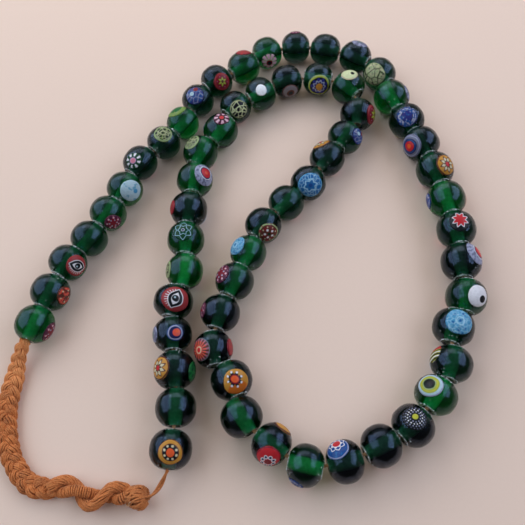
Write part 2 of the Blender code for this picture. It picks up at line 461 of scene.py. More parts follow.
def windRound(path, radius, yarn, pitch, perTurn):
    # a close winding round path
    lengths = [0.0]
    for a, b in zip(path, path[1:]):
        lengths.append(lengths[-1] + (b - a).length)
    total = lengths[-1]
    count = int(total / pitch * perTurn)
    seed = rand.uniform(0, 50)
    line = []
    for k in range(count):
        along = total * k / (count - 1)
        turn = 2 * math.pi * k / perTurn
        slip = unevenness["slip"] * pitch * noise.noise(Vector((seed + 3, along * unevenness["slips"], 0)))
        along = min(total - 1e-6, max(0.0, along + slip))
        i = max(j for j in range(len(lengths) - 1) if lengths[j] <= along)
        place = path[i].lerp(path[i + 1], (along - lengths[i]) / (lengths[i + 1] - lengths[i]))
        side, rise = levelSides(path[max(i - 1, 0)], path[min(i + 2, len(path) - 1)])
        bulge = unevenness["bulge"] * noise.noise(Vector((seed, along * unevenness["bulges"], turn)))
        reach = radius * (1 + bulge)
        line.append((place + spoke(side, rise, turn) * reach, yarn))
    return line


smoothStrand = twistPath(knotFrames, knots["phase"])
ribbedStrand = twistPath(knotFrames, knots["phase"] + math.pi)
knotLines = strandYarns(smoothStrand, knots["strand"], knots["strand"], knots["yarns"], knots["yarn"],
                        knots["yarnTwist"], knots["stray"])
knotLines.append(windRound(ribbedStrand, knots["ribRadius"], knots["ribYarn"], knots["ribPitch"],
                           knots["ribPoints"]))
knotCores = [[(place, knots["core"]) for place in path] for path in (smoothStrand, ribbedStrand)]
knotMesh = yarnMesh("tieKnots", [(knotLines, tanCotton), (knotCores, shadedCotton)])
knotPiece = addPiece("tieKnots", knotMesh, ["tie_knots"])

# the end bundle: yarns fanned back from the thread over a rounded body; shape is (share of length, radius)
wrap = {
    "shape": [(0.0, 0.0012), (0.12, 0.0021), (0.32, 0.0026), (0.62, 0.0029), (0.88, 0.0024), (1.0, 0.0007)],
    "yarns": 32, "yarn": 0.0003, "thinnest": 0.45, "thickens": 250, "turn": 1.5, "fray": 0.4,
    "jitter": 0.0002, "core": 0.97, "rest": 0.0034, "rings": 26, "before": 0.0006, "after": 0.0008,
    "loose": 0.00016, "looseFrom": 2.9, "looseTo": 2.0, "looseRings": 14, "looseFirst": 4,
    "looseLift": 0.00038,
}
wrapStart = knotEnd + tie["clear"]
wrapEnd = wrapStart + tie["wrapLength"]
wrapFrames = tieFrames(wrapStart - wrap["before"], wrapEnd + wrap["after"], wrap["rings"], wrap["rest"])


def wrapSpot(k, turn, lift=0.0):
    # a place on the bundle's outside, and how far out it is
    _, place, side, rise = wrapFrames[k]
    reach = routePoint(wrap["shape"], k / (wrap["rings"] - 1)) + lift
    return place + spoke(side, rise, turn) * reach, reach


wrapLines = []
for j in range(wrap["yarns"]):
    seed = rand.uniform(0, 50)
    line = []
    for k in range(wrap["rings"]):
        share = k / (wrap["rings"] - 1)
        turn = 2 * math.pi * j / wrap["yarns"] + wrap["turn"] * (1 - share)
        turn += wrap["fray"] * noise.noise(Vector((seed, share * 3, 0)))
        place, reach = wrapSpot(k, turn, wrap["jitter"] * noise.noise(Vector((seed + 5, share * 5, 0))))
        line.append((place, wrap["yarn"] * min(1.0, wrap["thinnest"] + reach * wrap["thickens"])))
    wrapLines.append(line)
wrapCore = [(wrapFrames[k][1], wrapSpot(k, 0.0)[1] * wrap["core"]) for k in range(wrap["rings"])]
looseLine = []
for k in range(wrap["looseRings"]):
    turn = wrap["looseFrom"] + (wrap["looseTo"] - wrap["looseFrom"]) * k / wrap["looseRings"]
    looseLine.append((wrapSpot(k + wrap["looseFirst"], turn, wrap["looseLift"])[0], wrap["loose"]))
wrapMesh = yarnMesh("tieWrap", [(wrapLines, tanCotton), ([wrapCore], shadedCotton),
                                ([looseLine], bleachedCotton)])
wrapPiece = addPiece("tieWrap", wrapMesh, ["tie_wrap"])

# two plies: the bare thread at the tie's end, and the same thread drawn tight through the beads
thread = {
    "ply": 0.00038, "offset": 0.00035, "twist": 0.013, "rest": 0.0036, "rings": 44, "overlap": 0.0012,
    "stringPly": 0.00034, "stringOffset": 0.0003, "stringTwist": 0.0036, "perBead": 14,
}


def plies(path, ply, offset, twist):
    # two plies turning round each other along path
    lines = []
    for start in (0, math.pi):
        line = []
        for travelled, place, side, rise in stations(path):
            turn = start + 2 * math.pi * travelled / twist
            line.append((place + spoke(side, rise, turn) * offset, ply))
        lines.append(line)
    return lines


threadStart = wrapEnd + tie["clear"] - thread["overlap"]
threadMiddle = [place for _, place, *_ in tieFrames(threadStart, tieEnd, thread["rings"], thread["rest"])]
threadLines = plies(threadMiddle, thread["ply"], thread["offset"], thread["twist"])
threadMesh = yarnMesh("tieThread", [(threadLines, tanCotton)])
threadPiece = addPiece("tieThread", threadMesh, ["tie_thread"])

print("tie: plait, knots, end bundle and thread laid")

# the glass beads: one drilled bead, repeated along the string at each bead's own size
bead = {
    "radius": 0.0060, "halfLength": 0.0056, "cut": 0.00517, "fullness": 2.22, "bore": 0.0015, "steps": 40,
    "rows": 20, "lip": [(-0.00012, 0.00006), (-0.0003, 0.00008)],
    "mouth": [(0.0003, 0.00002), (0.00008, -0.00008)], "boreRows": [0.94, 0.6, 0.2, -0.2, -0.6, -0.94],
    "touch": 0.00005, "rim": 0.0024, "longest": 0.0056, "lastLong": 0.0052, "lift": 0.00002, "spin": 0.7,
}
glass = {
    "tint": (0.80, 0.97, 0.86), "density": 670.0, "roughness": 0.12, "ior": 1.52,
    "mirror": (0.40, 0.56, 0.90),
    "tones": {"deep": (0.0, 0.42, 0.28), "dark": (0.0, 0.55, 0.35), "middle": (0.0, 0.64, 0.38),
              "clear": (0.0, 0.715, 0.43), "bright": (0.0, 0.775, 0.46)},
    "deep": [7, 8, 10, 11, 14, 15, 16, 19, 20, 24, 29, 30, 31, 36, 37, 40, 42, 43, 45, 48, 54, 57, 58, 59,
             61],
    "middle": [5, 6, 12, 13, 25, 34, 38, 46, 49], "clear": [1, 9, 18, 22, 32, 39, 51, 52, 53, 55],
    "bright": [28, 56], "worn": 900.0, "wear": 0.05, "waves": 420.0, "waveStrength": 0.12,
    "waveDepth": 0.0004,
}


def glassMaterial(tone):
    made, tree, shader = newMaterial(tone + "GreenGlass", {
        "Base Color": (*glass["tint"], 1.0), "Transmission Weight": 1.0, "IOR": glass["ior"],
        "Specular Tint": (*glass["mirror"], 1.0),
    })
    at = whereOn(tree)
    worn = noiseOn(tree, at, glass["worn"], 3.0)
    wear = calc(tree, "MULTIPLY_ADD", worn, glass["wear"], glass["roughness"] - glass["wear"] / 2)
    feed(tree, shader.inputs["Roughness"], wear)
    waves = noiseOn(tree, at, glass["waves"], 2.0)
    feed(tree, shader.inputs["Normal"], bumpFrom(tree, waves, glass["waveStrength"], glass["waveDepth"]))
    body = tree.nodes.new("ShaderNodeVolumeAbsorption")
    setOn(body, {"Color": (*glass["tones"][tone], 1.0), "Density": glass["density"]})
    feed(tree, tree.nodes["Material Output"].inputs["Volume"], body.outputs[0])
    return made


def spunMesh(name, profile, steps):
    # a closed ring profile of (radius, along) spun round the bore
    bm = bmesh.new()
    corners = [bm.verts.new((r, 0, z)) for r, z in profile]
    edges = [bm.edges.new((a, b)) for a, b in zip(corners, corners[1:] + corners[:1])]
    bmesh.ops.spin(bm, geom=corners + edges, cent=(0, 0, 0), axis=(0, 0, 1), angle=2 * math.pi, steps=steps,
                   use_merge=True)
    bmesh.ops.remove_doubles(bm, verts=bm.verts, dist=1e-7)
    bmesh.ops.recalc_face_normals(bm, faces=bm.faces)
    return meshFrom(bm, name)


def beadProfile():
    # up the outside, in over the far end, back through the bore and out over the near end
    radius, half, cut = bead["radius"], bead["halfLength"], bead["cut"]
    power = 2 / bead["fullness"]
    last = math.asin((cut / half) ** (1 / power))
    turns = [last * (2 * k / bead["rows"] - 1) for k in range(bead["rows"] + 1)]
    outside = [(radius * math.cos(t) ** power, math.copysign(half * abs(math.sin(t)) ** power, t))
               for t in turns]
    end = [(outside[-1][0] + r, cut + z) for r, z in bead["lip"]]
    end += [(bead["bore"] + r, cut + z) for r, z in bead["mouth"]]
    bore = [(bead["bore"], cut * share) for share in bead["boreRows"]]
    return outside + end + bore + [(r, -z) for r, z in reversed(end)]


def beadTurn(heading, spin):
    return heading.to_track_quat("Z", "Y").to_matrix().to_4x4() @ Matrix.Rotation(spin, 4, "Z")


def beadRoom(i):
    # half of the room between this bead and its nearer neighbour, less the touch and the bend
    if i > string["beads"] - 3:
        return bead["lastLong"]
    middle, heading = beadSeats[i]
    spans = [bead["longest"]]
    for k in (i - 1, i + 1):
        if k >= 0:
            bend = bead["rim"] * math.tan(heading.angle(beadSeats[k][1]) / 2)
            spans.append((middle - beadSeats[k][0]).length / 2 - bead["touch"] - bend)
    return min(spans)


beadSizes = [(girth * tenth / bead["radius"], beadRoom(i) / bead["cut"])
             for i, girth in enumerate(beadGirths)]


def beadMatrix(i):
    middle, heading = beadSeats[i]
    wide, long = beadSizes[i]
    place = Matrix.Translation((middle.x, middle.y, bead["radius"] * wide + bead["lift"]))
    return place @ beadTurn(heading, i * bead["spin"]) @ Matrix.Diagonal((wide, wide, long, 1))


def repeatAlong(name, master, first, last, tones=None):
    bm = bmesh.new()
    for i in range(first - 1, last):
        had, hadFaces = len(bm.verts), len(bm.faces)
        bm.from_mesh(master)
        bm.verts.ensure_lookup_table()
        bm.faces.ensure_lookup_table()
        bmesh.ops.transform(bm, matrix=beadMatrix(i), verts=bm.verts[had:])
        for face in bm.faces[hadFaces:]:
            face.material_index = tones[i] if tones else 0
    return meshFrom(bm, name)


toneNames = list(glass["tones"])
glassTones = [glassMaterial(tone) for tone in toneNames]
toneOf = [toneNames.index("dark")] * string["beads"]
for tone in toneNames:
    for number in glass.get(tone, []):
        toneOf[number - 1] = toneNames.index(tone)
masterBead = spunMesh("masterBead", beadProfile(), bead["steps"])
for name, first, last, node in (
        ("glassBeadsOuter", 1, string["outerBeads"], "bead_string_outer"),
        ("glassBeadsInner", string["outerBeads"] + 1, string["beads"], "bead_string_inner")):
    addPiece(name, repeatAlong(name, masterBead, first, last, toneOf), [node], glassTones)
print("glass beads threaded:", string["beads"])

# the pale residue in the drilled holes, with painted light and shade: pale on the side towards brightFrom,
# painted darker on the far side
lining = {
    "pale": (0.90, 0.92, 0.84), "patch": (0.70, 0.74, 0.66), "shaded": (0.20, 0.24, 0.16), "edge": 0.36,
    "soft": 0.34, "brightFrom": (0.0, -0.09, 0.18), "radius": 0.00152, "wall": 0.00005, "ends": 0.985,
    "steps": 20, "patches": 1500.0, "roughness": 0.9,
}
liningFinish, liningTree, liningShader = newMaterial("boreResidueAndPaintedShade", {"Roughness": lining["roughness"]})
liningNoise = noiseOn(liningTree, whereOn(liningTree), lining["patches"], 3.0)
liningPatches = below(liningTree, liningNoise, 0.5, 0.2)
liningTone = blendColour(liningTree, liningPatches, lining["pale"], lining["patch"])
liningLitShare = liningTree.nodes.new("ShaderNodeAttribute")
liningLitShare.attribute_name = "liningLitShare"
# painted shade: the residue turns to the shaded colour where the lining faces away from brightFrom
liningShade = below(liningTree, liningLitShare.outputs["Fac"], lining["edge"], lining["soft"])
liningTone = blendColour(liningTree, liningShade, liningTone, lining["shaded"])
feed(liningTree, liningShader.inputs["Base Color"], liningTone)
outer, inner = lining["radius"], lining["radius"] - lining["wall"]
reach = bead["cut"] * lining["ends"]
liningProfile = [(outer, -reach), (outer, 0), (outer, reach), (inner, reach), (inner, 0), (inner, -reach)]
masterLining = spunMesh("masterLining", liningProfile, lining["steps"])
liningMesh = repeatAlong("boreLinings", masterLining, 1, string["beads"])
# how far each point of the lining faces brightFrom, which sets its painted light and shade
liningLitShares = liningMesh.attributes.new("liningLitShare", "FLOAT", "POINT")
perLining = len(masterLining.vertices)
for vert in liningMesh.vertices:
    i = vert.index // perLining
    heading = beadSeats[i][1]
    outward = vert.co - beadMatrix(i).translation
    outward -= heading * outward.dot(heading)
    lean = Vector(lining["brightFrom"]) - beadSeats[i][0]
    lean -= heading * lean.dot(heading)
    liningLitShares.data[vert.index].value = min(1.0, max(0.0, outward.normalized().dot(lean.normalized())))
addPiece("boreLinings", liningMesh, finishes=[liningFinish])

# the pale edge round each hole: a thin ring, partly the chipped frosted edge and partly a painted glint of
# the light it catches; thicker where it is chipped, left off the bare beads
rims = {
    "pale": (0.88, 0.92, 0.92), "dark": (0.05, 0.12, 0.07), "patches": 1800.0, "roughness": 0.3,
    "points": 48, "ring": 0.00010, "wander": 0.00022, "waves": 2.2, "chip": 0.00022, "chips": 9,
    "inset": 0.00003, "sunk": 0.00001,
    "bare": [1, 10, 13, 14, 15, 31, 33, 34, 41, 42, 43, 45, 48, 59, 60, 61],
}
# painted glint: the ring's pale colour stands in for light caught by the edge as well as the frosted chip
rimGlintFinish, rimTree, rimShader = newMaterial("chippedRimAndGlint", {"Roughness": rims["roughness"]})
rimNoise = noiseOn(rimTree, whereOn(rimTree), rims["patches"], 3.0)
rimTone = blendColour(rimTree, below(rimTree, rimNoise, 0.48, 0.08), rims["pale"], rims["dark"])
feed(rimTree, rimShader.inputs["Base Color"], rimTone)
rimRadius = beadProfile()[bead["rows"]][0]
rimLines = []
for i in range(string["beads"]):
    for way in (-1, 1):
        seed = rand.uniform(0, 50)
        ring = []
        for k in range(rims["points"] + 1):
            turn = 2 * math.pi * (k % rims["points"]) / rims["points"]
            dx, dy = math.cos(turn), math.sin(turn)
            wander = noise.noise(Vector((seed, rims["waves"] * dx, rims["waves"] * dy))) * rims["wander"]
            reach = rimRadius - rims["inset"] + wander
            spot = Vector((dx * reach, dy * reach, way * (bead["cut"] - rims["sunk"] + 0.2 * wander)))
            chip = max(0.0, noise.noise(Vector((seed + 4, rims["chips"] * dx, rims["chips"] * dy))))
            ring.append((beadMatrix(i) @ spot, rims["ring"] + rims["chip"] * chip))
        if i + 1 not in rims["bare"]:
            rimLines.append(ring)
addPiece("beadRims", yarnMesh("beadRims", [(rimLines, rimGlintFinish)]))

# small chips and trapped bubbles on each bead's shoulders, gathered towards one side of the hole; their
# pale colour from the rims' finish is partly a painted glint
flecks = {
    "perEnd": 13, "smallest": 0.00006, "largest": 0.00020, "rows": 4.5, "crowd": 1.6, "gather": 0.9,
    "flat": 0.5,
}
outline = beadProfile()[:bead["rows"] + 1]
fleckSpots = []
for i in range(string["beads"]):
    for way in (-1, 1):
        middleTurn = rand.uniform(0, 2 * math.pi)
        for _ in range(flecks["perEnd"]):
            turn = rand.gauss(middleTurn, flecks["gather"])
            row = bead["rows"] - flecks["rows"] * rand.random() ** flecks["crowd"]
            k = min(int(row), bead["rows"] - 1)
            wide = outline[k][0] + (outline[k + 1][0] - outline[k][0]) * (row - k)
            far = outline[k][1] + (outline[k + 1][1] - outline[k][1]) * (row - k)
            size = rand.uniform(flecks["smallest"], flecks["largest"])
            spot = Matrix.Rotation(turn, 4, "Z") @ Vector((wide, 0, way * far))
            place = beadMatrix(i) @ Matrix.Translation(spot) @ Matrix.Diagonal((size, size, size, 1))
            place = place @ Matrix.Rotation(turn, 4, "Z") @ Matrix.Diagonal((flecks["flat"], 1, 1, 1))
            fleckSpots.append(place)
fleck = bmesh.new()
bmesh.ops.create_icosphere(fleck, subdivisions=1, radius=1.0)
masterFleck = meshFrom(fleck, "masterFleck")
bm = bmesh.new()
for place in fleckSpots:
    had = len(bm.verts)
    bm.from_mesh(masterFleck)
    bm.verts.ensure_lookup_table()
    for vert in bm.verts[had:]:
        vert.co = place @ vert.co
# the flecks share the rims' finish, pale as painted glints
addPiece("beadFlecks", meshFrom(bm, "beadFlecks"), finishes=[rimGlintFinish])

# the thread inside the beads, from one end of the tie to the other
stringRows = [(n + 1, beadMatrix(n).translation) for n in range(string["beads"])]
perBead = thread["perBead"]
stringPath = [routePoint(stringRows, 1 + k / perBead) for k in range((string["beads"] - 1) * perBead + 1)]
threadIn, threadOut = stringEnds()
stringPath = [threadIn] + stringPath + [threadOut]
stringPlies = plies(stringPath, thread["stringPly"], thread["stringOffset"], thread["stringTwist"])
addPiece("stringThread", yarnMesh("stringThread", [(stringPlies, bleachedCotton)]))
print("bores lined and string run through")

# the inlaid discs: their colours, then their patterns
ink = {
    "red": (0.52, 0.022, 0.03), "dustyRed": (0.31, 0.033, 0.036), "crimson": (0.2, 0.01, 0.022),
    "orange": (0.72, 0.1, 0.024), "redOrange": (0.66, 0.085, 0.05), "amber": (0.52, 0.24, 0.036),
    "deepAmber": (0.56, 0.14, 0.016), "brown": (0.1, 0.032, 0.02), "cream": (0.6, 0.53, 0.33),
    "yellow": (0.47, 0.47, 0.05), "lime": (0.36, 0.41, 0.05), "paleCream": (0.62, 0.68, 0.38),
    "white": (0.72, 0.72, 0.75), "brightWhite": (0.95, 0.98, 1.0), "lace": (0.33, 0.36, 0.19),
    "olive": (0.3, 0.4, 0.18), "deepGreen": (0.012, 0.026, 0.012), "sky": (0.075, 0.3, 0.5),
    "deepSky": (0.016, 0.12, 0.32), "paleSky": (0.32, 0.56, 0.7), "blue": (0.011, 0.062, 0.24),
    "violet": (0.024, 0.028, 0.17), "navy": (0.013, 0.017, 0.08), "lavender": (0.31, 0.33, 0.46),
    "greyViolet": (0.14, 0.15, 0.23), "milk": (0.41, 0.57, 0.63), "skyMilk": (0.13, 0.34, 0.46),
    "pink": (0.66, 0.22, 0.3), "palePink": (0.66, 0.4, 0.48), "dimPink": (0.36, 0.13, 0.19),
    "purple": (0.085, 0.014, 0.04), "black": (0.009, 0.011, 0.014), "grey": (0.13, 0.17, 0.18),
    "greyBrown": (0.22, 0.19, 0.2), "glassGreen": (0.004, 0.05, 0.018), "brightGreen": (0.012, 0.13, 0.03),
    "dimLime": (0.17, 0.28, 0.06),
}
# a motif's ground colour, then its layers, each over the one before: shape, its numbers as shares of the
# disc, colour; move shifts the layers after it
canes = {
    # eyeRed's small milky spot in the black pupil is a painted highlight
    "eyeRed": ["dustyRed", ("lashes", 24, 0.46, 0.78, 0.24, "white"), ("almond", 0.82, 0.56, "white"),
        ("almond", 0.75, 0.5, "black"), ("almond", 0.5, 0.27, "white"), ("disc", 0.25, "black"),
        ("spot", 0.05, 0.06, 0.07, "milk")],
    "whiteEye": ["white", ("spot", 0.32, -0.28, 0.34, "black")],
    "yellowEye": ["milk", ("ring", 0.9, 1.0, "lavender"), ("disc", 0.74, "lime"),
        ("ring", 0.56, 0.66, "yellow"), ("disc", 0.5, "olive"), ("disc", 0.43, "deepGreen"),
        ("disc", 0.32, "black")],
    "creamEye": ["paleCream", ("ring", 0.86, 1.0, "cream"), ("spot", 0.3, -0.04, 0.24, "black")],
    "redStar": ["black", ("move", 0.04, 0.12), ("star", 8, 0.5, 0.84, 0.0, "white"),
        ("star", 8, 0.41, 0.73, 0.0, "red")],
    "skyLace": ["deepSky", ("ring", 0.92, 1.0, "sky"), ("blotch", 2.8, 0.36, "sky"),
        ("lace", 3.3, 0.045, 0.92, "paleSky"), ("star", 6, 0.38, 0.58, 0.2, "paleSky"),
        ("star", 6, 0.3, 0.48, 0.2, "deepSky"), ("disc", 0.16, "blue")],
    "paleSkyLace": ["sky", ("blotch", 3.0, 0.42, "deepSky"), ("blotch", 5.0, 0.42, "skyMilk"),
        ("lace", 3.6, 0.04, 0.95, "paleSky"), ("ring", 0.24, 0.32, "paleSky"), ("disc", 0.1, "deepSky")],
    "creamLace": ["black", ("lace", 1.9, 0.064, 0.92, "paleCream"), ("ring", 0.86, 0.97, "lace"),
        ("ring", 0.24, 0.33, "paleCream"), ("blotch", 5.0, 0.34, "deepGreen")],
    "whitePetals": ["purple", ("rays", 7, 0.42, 0.9, 0.5, "palePink"), ("disc", 0.44, "black"),
        ("disc", 0.28, "red"), ("blotch", 4.0, 0.34, "black")],
    "limeLace": ["deepGreen", ("lace", 2.6, 0.1, 0.9, "lace"), ("ring", 0.8, 0.97, "olive"),
        ("ring", 0.2, 0.32, "lace"), ("blotch", 3.4, 0.38, "dimLime"), ("disc", 0.12, "deepGreen")],
    "mottledGreen": ["lace", ("blotch", 3.0, 0.44, "deepGreen"), ("lace", 2.6, 0.12, 1.0, "olive"),
        ("lace", 5.0, 0.05, 0.95, "cream"), ("lace", 1.5, 0.035, 0.95, "deepGreen")],
    "amberStar": ["amber", ("spot", 0.2, -0.7, 0.8, "deepAmber"), ("move", -0.14, 0.2),
        ("star", 8, 0.38, 0.66, 0.0, "black"), ("dots", 8, 0.55, 0.085, 0.0, "white"),
        ("disc", 0.36, "crimson"), ("disc", 0.27, "orange")],
    "amberWobble": ["amber", ("ring", 0.92, 1.0, "brown"), ("ring", 0.58, 0.66, "brown"),
        ("disc", 0.6, "black"), ("dots", 8, 0.5, 0.095, 0.0, "cream"), ("disc", 0.4, "black"),
        ("disc", 0.32, "orange")],
    "amberFlower": ["amber", ("ring", 0.88, 1.0, "brown"), ("star", 8, 0.46, 0.8, 0.0, "brown"),
        ("star", 8, 0.38, 0.66, 0.0, "cream"), ("star", 8, 0.24, 0.44, 0.5, "brown"), ("disc", 0.2, "red")],
    "amberEdge": ["amber", ("ring", 0.8, 1.0, "brown")],
    "pinkFlower": ["glassGreen", ("rays", 8, 0.54, 0.9, 0.46, "white"), ("blotch", 3.0, 0.34, "deepGreen"),
        ("disc", 0.48, "black"), ("ring", 0.3, 0.41, "lavender"), ("disc", 0.34, "pink")],
    "mauvePetals": ["glassGreen", ("star", 9, 0.78, 1.0, 0.0, "olive"),
        ("rays", 9, 0.36, 0.96, 0.7, "palePink"), ("move", 0.0, -0.15), ("disc", 0.38, "crimson"),
        ("disc", 0.25, "black")],
    "blueSwirl": ["blue", ("blotch", 2.3, 0.46, "violet"), ("lace", 1.6, 0.035, 0.88, "lavender"),
        ("lace", 3.4, 0.03, 0.8, "greyViolet"), ("spot", -0.3, 0.1, 0.22, "milk"),
        ("spot", 0.06, 0.64, 0.24, "crimson"), ("ring", 0.9, 1.0, "navy")],
    "blueFlower": ["navy", ("ring", 0.56, 0.84, "lavender"), ("blotch", 2.6, 0.43, "blue"),
        ("disc", 0.48, "violet"), ("blotch", 3.4, 0.46, "blue"), ("blotch", 4.2, 0.36, "lavender")],
    "redSun": ["crimson", ("ring", 0.78, 0.9, "dustyRed"), ("star", 6, 0.26, 0.64, 0.0, "brown"),
        ("star", 6, 0.18, 0.52, 0.0, "lime"), ("disc", 0.16, "brown"),
        ("dots", 6, 0.62, 0.06, 0.5, "dimPink")],
    "redGlass": ["dustyRed", ("ring", 0.84, 1.0, "crimson"), ("blotch", 2.4, 0.4, "red")],
    "ringsRed": ["greyViolet", ("ring", 0.8, 0.86, "lavender"), ("disc", 0.66, "navy"),
        ("ring", 0.5, 0.57, "blue"), ("disc", 0.43, "red"), ("disc", 0.2, "orange")],
    "lavenderRed": ["lavender", ("blotch", 3.6, 0.46, "greyViolet"), ("move", 0.05, 0.14),
        ("disc", 0.6, "white"), ("disc", 0.54, "navy"), ("disc", 0.44, "red"), ("disc", 0.16, "redOrange")],
    "crescentRed": ["lavender", ("ring", 0.88, 1.0, "blue"), ("disc", 0.74, "navy"),
        ("blotch", 2.0, 0.3, "blue"), ("spot", 0.14, 0.04, 0.46, "redOrange"),
        ("spot", 0.2, 0.16, 0.18, "orange")],
    "orangeRays": ["brown", ("rays", 16, 0.3, 1.0, 0.45, "dimPink"),
        ("rays", 16, 0.2, 0.74, 0.55, "redOrange"), ("disc", 0.4, "redOrange"),
        ("ring", 0.22, 0.3, "cream"), ("disc", 0.15, "red"), ("ring", 0.93, 1.0, "grey")],
    "brownRed": ["brown", ("blotch", 2.2, 0.49, "redOrange"), ("blotch", 4.4, 0.42, "crimson"),
        ("dots", 5, 0.62, 0.08, 0.0, "cream"), ("ring", 0.86, 1.0, "brown")],
    "darkPetals": ["purple", ("star", 7, 0.5, 0.9, 0.0, "crimson"), ("dots", 7, 0.7, 0.1, 0.0, "palePink"),
        ("dots", 6, 0.44, 0.09, 0.5, "lavender"), ("dots", 9, 0.86, 0.05, 0.5, "dimPink"),
        ("disc", 0.24, "crimson"), ("blotch", 4.0, 0.36, "black")],
    "whiteDots": ["black", ("dots", 22, 0.88, 0.034, 0.0, "greyViolet"),
        ("dots", 19, 0.73, 0.044, 0.5, "lavender"), ("dots", 15, 0.57, 0.05, 0.0, "white"),
        ("dots", 11, 0.41, 0.045, 0.3, "lavender"), ("disc", 0.22, "yellow")],
    "limeStar": ["lime", ("ring", 0.93, 1.0, "olive"), ("disc", 0.82, "black"),
        ("dots", 9, 0.62, 0.15, 0.0, "violet"), ("star", 9, 0.44, 0.63, 0.5, "lavender"),
        ("star", 9, 0.33, 0.49, 0.5, "navy"), ("disc", 0.3, "amber"), ("spot", 0.0, -0.2, 0.2, "amber")],
    "redRing": ["red", ("ring", 0.9, 1.0, "crimson"), ("move", 0.0, -0.3),
        ("dots", 8, 0.46, 0.17, 0.0, "white"), ("dots", 8, 0.46, 0.1, 0.0, "navy"),
        ("disc", 0.26, "crimson")],
    "blueStar": ["blue", ("blotch", 2.5, 0.4, "deepSky"), ("ring", 0.88, 0.95, "lavender"),
        ("move", 0.04, 0.32), ("star", 7, 0.58, 0.74, 0.0, "white"), ("star", 7, 0.52, 0.67, 0.0, "blue"),
        ("star", 7, 0.38, 0.52, 0.5, "white"), ("disc", 0.34, "red")],
    "paleMilk": ["milk", ("blotch", 1.3, 0.42, "skyMilk"), ("spot", 0.25, -0.2, 0.22, "sky")],
    "whiteDisc": ["brightWhite", ("ring", 0.9, 1.0, "white")],
    "greyMilk": ["greyViolet", ("blotch", 2.0, 0.45, "lavender"), ("disc", 0.4, "grey")],
    "greyDisc": ["greyBrown", ("ring", 0.9, 1.0, "brown"), ("move", 0.0, -0.1), ("disc", 0.48, "brown"),
        ("disc", 0.28, "black")],
    "darkRings": ["brown", ("ring", 0.86, 0.97, "olive"), ("blotch", 3.0, 0.44, "crimson"),
        ("dots", 5, 0.4, 0.11, 0.0, "white"), ("dots", 8, 0.66, 0.06, 0.3, "cream"),
        ("disc", 0.16, "deepGreen")],
    "stripes": ["yellow", ("bars", 2.4, 0.3, 0.1, "black"), ("bars", 2.4, 0.26, 0.6, "white"),
        ("half", 0.15, "red"), ("bars", 4.6, 0.2, 0.3, "black")],
    "starLace": ["glassGreen", ("star", 6, 0.63, 0.94, 0.0, "paleSky"),
        ("star", 6, 0.58, 0.87, 0.0, "glassGreen"), ("star", 6, 0.36, 0.54, 0.5, "paleSky"),
        ("star", 6, 0.31, 0.48, 0.5, "glassGreen"), ("ring", 0.09, 0.16, "lavender")],
    "limeGlass": ["brightGreen", ("ring", 0.6, 1.0, "dimLime"), ("blotch", 2.4, 0.34, "lime")],
    "clearGreen": ["brightGreen", ("blotch", 3.0, 0.46, "glassGreen")],
}


def span(tree, x, y):
    # how far from the middle a place is
    return calc(tree, "SQRT", plus(tree, times(tree, x, x), times(tree, y, y)))


def caneMask(tree, layer, x, y, r, angle, plain):
    shape = layer[0]
    if shape == "disc":
        return below(tree, r, layer[1])
    if shape == "ring":
        return times(tree, below(tree, r, layer[2], 0.02), minus(tree, 1.0, below(tree, r, layer[1], 0.02)))
    if shape == "spot":
        return below(tree, span(tree, minus(tree, x, layer[1]), minus(tree, y, layer[2])), layer[3])
    if shape == "almond":
        wide = calc(tree, "DIVIDE", x, layer[1])
        lid = times(tree, minus(tree, 1.0, times(tree, wide, wide)), layer[2])
        return below(tree, calc(tree, "ABSOLUTE", y), lid)
    if shape == "half":
        return below(tree, times(tree, x, -1.0), -layer[1])
    if shape == "bars":
        saw = calc(tree, "FRACT", plus(tree, times(tree, x, layer[1]), 10.0 + layer[3]))
        return below(tree, saw, layer[2], 0.06)
    if shape == "lace":
        cells = tree.nodes.new("ShaderNodeTexVoronoi")
        cells.feature = "DISTANCE_TO_EDGE"
        cells.inputs["Scale"].default_value = layer[1]
        feed(tree, cells.inputs["Vector"], plain)
        return times(tree, below(tree, cells.outputs["Distance"], layer[2], 0.03), below(tree, r, layer[3]))
    if shape == "blotch":
        return below(tree, noiseOn(tree, plain, layer[1], 2.0), layer[2], 0.04)
    # what is left repeats count times round the disc: fold runs from -0.5 to 0.5 across each of them
    count = layer[1]
    shift = 10.0 + (layer[4] if shape in ("star", "dots") else 0.0)
    turns = calc(tree, "MULTIPLY_ADD", angle, count / (2 * math.pi), shift)
    fold = minus(tree, calc(tree, "FRACT", turns), 0.5)
    if shape == "star":
        tip = minus(tree, 1.0, times(tree, calc(tree, "ABSOLUTE", fold), 2.0))
        return below(tree, r, calc(tree, "MULTIPLY_ADD", tip, layer[3] - layer[2], layer[2]))
    if shape in ("rays", "lashes"):
        spoke = below(tree, calc(tree, "ABSOLUTE", fold), layer[4] / 2, 0.06)
        band = times(tree, below(tree, r, layer[3]), minus(tree, 1.0, below(tree, r, layer[2])))
        if shape == "lashes":
            band = times(tree, band, below(tree, times(tree, y, -1.0), 0.0, 0.05))
        return times(tree, spoke, band)
    turn = times(tree, fold, 2 * math.pi / count)
    out = minus(tree, times(tree, r, calc(tree, "COSINE", turn)), layer[2])
    return below(tree, span(tree, out, times(tree, r, calc(tree, "SINE", turn))), layer[3])


def discPlace(tree, plain, right, up):
    # across, up, reach and angle on the disc, measured from a middle moved by right and up
    parts = tree.nodes.new("ShaderNodeSeparateXYZ")
    feed(tree, parts.inputs[0], plain)
    x = minus(tree, parts.outputs[0], right)
    y = minus(tree, parts.outputs[1], up)
    return x, y, span(tree, x, y), calc(tree, "ARCTAN2", y, x)


caneGlass = {
    "wobble": 0.08, "wobbles": 330.0, "grain": 1400.0, "grime": (0.05, 0.07, 0.07), "grimeShare": 0.12,
    "roughness": 0.16, "wear": 0.14, "mirror": 0.16, "coat": 0.04, "coatRoughness": 0.05, "bump": 0.0002,
}


